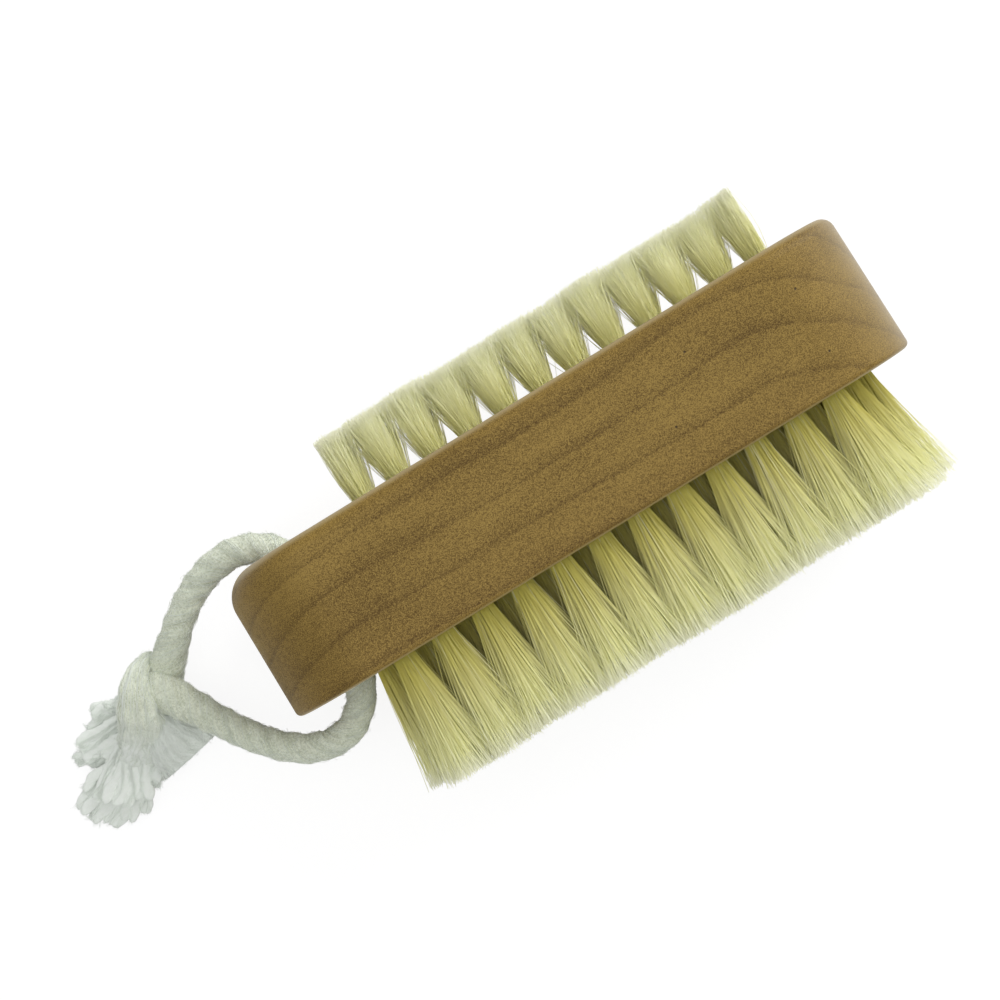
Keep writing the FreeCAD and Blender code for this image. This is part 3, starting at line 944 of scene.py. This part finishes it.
class NAILBRUSH_OT_rope(bpy.types.Operator):
    """Runs the twisted rope through the stock, ties its knot and frays its ends"""

    bl_idname = "nailbrush.rope"
    bl_label = "Lay Rope"

    def execute(self, context):
        settings = context.scene.brush_rope
        rng = np.random.default_rng(7)
        tone, crease_shade_and_mottle, pale, shaded = settings.cotton, settings.crease_shade_and_mottle, settings.frayed, settings.shaded
        cotton = make_cotton("twisted_cotton", tone, crease_shade_and_mottle, across=9.0, along=500.0, relief_share=0.6)
        wrapped = make_cotton("wrapped_cotton", tone, crease_shade_and_mottle, 26.0, 160.0, relief_share=0.6, end=pale)
        loose = make_cotton("loose_cotton", pale, shaded, across=18.0, along=160.0, relief_share=0.2)
        fur = make_fibre("rope_fur", pale, tone)
        frayed = make_fibre("frayed_cotton_fibre", pale, shaded)
        pieces = self.band(rng, "knot_band", KNOT_BAND, KNOT_SIDE, (8, 0.35, 11), wrapped, fur, ["rope_knot"])
        knot = pieces[0]
        pieces += self.band(rng, "loosened_web", WEB_SHEET, WEB_SIDE, (14, 0.0, 13), loose, frayed, [])
        for name, clumps, nodes in (
            ("frayed_end_upper", UPPER_CLUMPS, ["rope_end_upper"]),
            ("frayed_end_lower", LOWER_CLUMPS, ["rope_end_lower"]),
        ):
            pieces += self.clumps(rng, name, clumps, loose, frayed, nodes)
        points = rope_points()
        middle = int(np.argmin(np.linalg.norm(points - np.array(ROPE_HOLE), axis=1)))
        self.strand(rng, "upper", points[: middle + 1][::-1], NAIL_FACE, (cotton, fur), pieces)
        self.strand(rng, "lower", points[middle:], SCRUB_FACE, (cotton, fur), [knot])
        return {"FINISHED"}

    def strand(self, rng, side, line, face, finishes, pieces):
        """Half of the rope, from the middle of its hole to the knot."""
        settings = bpy.context.scene.brush_rope
        seed = 3 if side == "upper" else 5
        rings, at, twist = rope_rings(line, settings.thickness / 2, settings.lay, seed)
        strand = tube_mesh(f"rope_{side}_strand", [tube_parts(rings, at, twist)])
        put_on(strand, finishes[0], "rope", "cotton_rope", "hang_rope")
        fibres, fur = self.furred(rng, strand, rings, twist, finishes[1], (24, 0.00005), (1500, 0.0007))

    def band(self, rng, name, rows, side, ridges, finish, fur_finish, nodes):
        """A wide soft bundle of yarns: the turn that wraps both strands, or the loosened web beside it.
        ridges holds the number of its yarns, the turns that they make and the seed of its swellings."""
        line = spline_points([tuple(value * MM for value in place) for place, _ in rows])
        sizes = spline_points([(wide * MM, high * MM, 0.0) for _, (wide, high) in rows])
        rings, at, twist = bundle_rings(line, sizes[:, :2], side, *ridges)
        band = tube_mesh(f"rope_{name}", [tube_parts(rings, at, twist)])
        put_on(band, finish, "rope", "cotton_rope", *nodes)
        return [band, *self.furred(rng, band, rings, twist, fur_finish, (40, 0.00007), (800, 0.0008))]

    def furred(self, rng, piece, rings, twist, finish, lying, standing):
        """The fibres that lie on a piece of rope, with their span in rings and their thickness, and the fur
        that stands off it, with its count and its reach."""
        fibres = surface_fibres(rng, rings, twist, LYING_FIBRES, *lying)
        fibres = put_on(strand_mesh(piece.name + "_fibres", *fibres), finish, "rope", "cotton_rope")
        fur = strand_mesh(piece.name + "_fur", *fuzz_lines(rng, piece, *standing))
        return [fibres, put_on(fur, finish, "rope", "cotton_rope")]

    def clumps(self, rng, name, clumps, loose, frayed, nodes):
        """Soft clumps of cotton that fan out from the knot and lie on the table, and their yarns' fibres."""
        along = 1.0 - (1.0 - np.linspace(0.0, 1.0, CLUMP_STATIONS)) ** 2
        bodies, lines, radii = [], [], []
        for root, tip, height, wide in clumps:
            root, tip = np.array(root) * MM, np.array(tip) * MM
            way = (tip - root) / np.linalg.norm(tip - root)
            over = np.array((-way[1], way[0]))
            sway = CLUMP_SWAY * np.sin(along * rng.uniform(3, 6) + rng.uniform(0, FULL_TURN)) * along
            plan = root + (tip - root) * along[:, None] + over * sway[:, None]
            rise = KNOT_RISE * (1 - along) ** 1.5 + height * MM * along**0.7
            line = np.column_stack([plan, rise])
            taper = (0.70 + 0.30 * along) * np.sqrt(np.clip(1.0 - along**10, 0.0, 1.0)) + 0.03
            for place in BODY_PLACES:
                crimp = CLUMP_CRIMP * np.sin(along * rng.uniform(8, 13) + rng.uniform(0, FULL_TURN)) * along
                aside = place * wide * MM * (0.5 + 0.5 * along) + crimp
                core = first_part(line, rng.uniform(0.90, 1.02)) + np.outer(aside, (*over, 0.0))
                core[:, 2] = np.maximum(core[:, 2] * 0.92 + rng.normal(0, 0.0002), CLUMP_CLEAR)
                half = np.minimum(0.32 * wide * MM, core[:, 2] * 0.85)
                sizes = np.column_stack([0.80 * wide * MM * taper, half * taper])
                seed = int(rng.integers(1, 999))
                rings = bundle_rings(core, sizes, (*over, 0.0), ridges=3, turns=1.6, seed=seed, around=16)
                bodies.append(tube_parts(*rings))
            for place in YARN_PLACES:
                made = self.yarn(rng, line, over, place * wide * MM, wide * MM)
                lines.append(made[0])
                radii.append(made[1])
        body = tube_mesh("rope_" + name, bodies)
        put_on(body, loose, "rope", "cotton_rope", *nodes)
        lines, radii = np.concatenate(lines), np.concatenate(radii)
        fibres = strand_mesh(f"rope_{name}_fibres", lines, radii, rng.random(len(lines)))
        return [body, put_on(fibres, frayed, "rope", "cotton_rope")]

    def yarn(self, rng, line, over, offset, wide):
        """The fibres of one loose yarn of a clump, which opens towards its cut end."""
        count = YARN_FIBRES
        size = rng.uniform(0.88, 1.02) - 0.06 * (offset / wide) ** 2
        share = np.linspace(0.0, 1.0, len(line))
        middle = first_part(line, size)
        wave = YARN_WAVE * np.sin(share * rng.uniform(6, 11) + rng.uniform(0, FULL_TURN))
        across = offset * (0.45 + 0.55 * share) + wave
        lift = rng.normal(0, YARN_LIFT) + 0.25 * wave
        reach = np.sqrt(rng.random(count))[:, None] * (0.00024 + 0.00026 * share**2)
        start, twist = rng.uniform(0, FULL_TURN, count)[:, None], rng.normal(0, 0.5, count)[:, None]
        turn = start + 4.0 * share + twist * share
        pace, start = rng.uniform(12, 30, count)[:, None], rng.uniform(0, FULL_TURN, count)[:, None]
        curl = FIBRE_CURL * np.sin(share * pace + start)
        stretch = 1.0 + rng.normal(0, 0.018, count)[:, None] * share
        plan = middle[None, :, :2] * stretch[..., None] + middle[0, :2] * (1.0 - stretch)[..., None]
        plan = plan + over * (across + reach * np.cos(turn) + curl)[..., None]
        rise = np.maximum(middle[:, 2] + lift + reach * np.sin(turn) + curl, LOOSE_CLEAR)
        radii = rng.uniform(0.00002, 0.00004, count)[:, None] * (1.0 - 0.4 * share)
        return np.concatenate([plan, rise[..., None]], 2), radii


class NAILBRUSH_OT_stage(bpy.types.Operator):
    """Sets the floor, the soft light and the camera above the brush"""

    bl_idname = "nailbrush.stage"
    bl_label = "Light Stage"

    def execute(self, context):
        settings = context.scene.brush_stage
        self.floor(settings)
        self.lights(context, settings)
        self.camera(context, settings)
        context.scene.view_settings.view_transform = "Standard"
        return {"FINISHED"}

    def floor(self, settings):
        """A floor that looks white, keeps the shadow and lights the brush as pale paper does."""
        pale = new_finish("pale_floor")
        path = pale.node("LightPath")
        seen = path.other("Is Camera Ray") + path.other("Is Glossy Ray") + path.other("Is Transmission Ray")
        plain = pale.node("BsdfDiffuse", None, {"Color": (*settings.floor, 1.0)})
        shade = pale.node("BsdfDiffuse", None, {"Color": (*SEEN_GREY, 1.0)})
        white = pale.node("Emission", None, {"Strength": SEEN_GLOW})
        shown = pale.node("AddShader", None, {0: shade, 1: white})
        finish = pale.surface(pale.node("MixShader", None, {0: seen, 1: plain, 2: shown}))
        mesh = bpy.data.meshes.new("studio_floor")
        corners = [(-1, -1), (1, -1), (1, 1), (-1, 1)]
        points = [(x * FLOOR_HALF, y * FLOOR_HALF, -FLOOR_DROP) for x, y in corners]
        mesh.from_pydata(points, [], [(0, 1, 2, 3)])
        mesh.materials.append(finish)
        floor = bpy.data.objects.new("studio_floor", mesh)
        bpy.context.scene.collection.objects.link(floor)

    def lights(self, context, settings):
        """Even light from all round, a large soft lamp beside the brush and a weaker one above it."""
        sky = Finish(bpy.data.worlds.new("studio_world"))
        path = sky.node("LightPath")
        seen = path.other("Is Camera Ray") + path.other("Is Glossy Ray")
        fill = sky.node("Background", None, {"Strength": settings.fill})
        white = sky.node("Background", None, {"Strength": 1.0})
        mixed = sky.node("MixShader", None, {0: seen, 1: fill, 2: white})
        context.scene.world = sky.surface(mixed, "OutputWorld")
        for name, place, size, power in (
            ("key_softbox", (0.62, 0.32, 0.40), 0.55, settings.key),
            ("top_softbox", (-0.10, -0.05, 0.85), 0.60, settings.key * TOP_SHARE),
        ):
            lamp = bpy.data.lights.new(name, "AREA")
            lamp.shape = "SQUARE"
            lamp.size = size
            lamp.energy = power
            holder = bpy.data.objects.new(name, lamp)
            holder.location = place
            holder.rotation_euler = (-Vector(place)).to_track_quat("-Z", "Y").to_euler()
            context.scene.collection.objects.link(holder)

    def camera(self, context, settings):
        """A camera straight above the brush, turned so that the brush lies aslant."""
        camera = bpy.data.cameras.new("photo_camera")
        camera.lens = settings.lens
        camera.sensor_width = 36.0
        camera.clip_start = 0.01
        camera.clip_end = 20.0
        holder = bpy.data.objects.new("photo_camera", camera)
        holder.location = CAMERA_PLACE
        holder.rotation_euler = (0.0, 0.0, math.radians(CAMERA_TURN))
        context.scene.collection.objects.link(holder)
        context.scene.camera = holder


class NAILBRUSH_PT_panel(bpy.types.Panel):
    """Lists the steps that dress the brush"""

    bl_idname = "NAILBRUSH_PT_panel"
    bl_label = "Nail Brush"
    bl_space_type = "VIEW_3D"
    bl_region_type = "UI"
    bl_category = "Nail Brush"

    def draw(self, context):
        for name in SETTINGS:
            group = getattr(context.scene, name)
            box = self.layout.box()
            for prop in group.bl_rna.properties:
                if not prop.is_readonly and prop.identifier != "name":
                    box.prop(group, prop.identifier)
        for step in STEPS:
            self.layout.operator(step.bl_idname)


STEPS = (NAILBRUSH_OT_stage, NAILBRUSH_OT_stock, NAILBRUSH_OT_rope, NAILBRUSH_OT_bristles)
SETTINGS = {
    "brush_stock": StockSettings,
    "brush_bristles": BristleSettings,
    "brush_rope": RopeSettings,
    "brush_stage": StageSettings,
}
CLASSES = (*SETTINGS.values(), *STEPS, NAILBRUSH_PT_panel)


def register():
    for kind in CLASSES:
        bpy.utils.register_class(kind)
    for name, kind in SETTINGS.items():
        setattr(bpy.types.Scene, name, PointerProperty(type=kind))


def unregister():
    for name in SETTINGS:
        delattr(bpy.types.Scene, name)
    for kind in reversed(CLASSES):
        bpy.utils.unregister_class(kind)


def main():
    register()
    for step in STEPS:
        group, name = step.bl_idname.split(".")
        getattr(getattr(bpy.ops, group), name)()


if __name__ == "__main__":
    main()
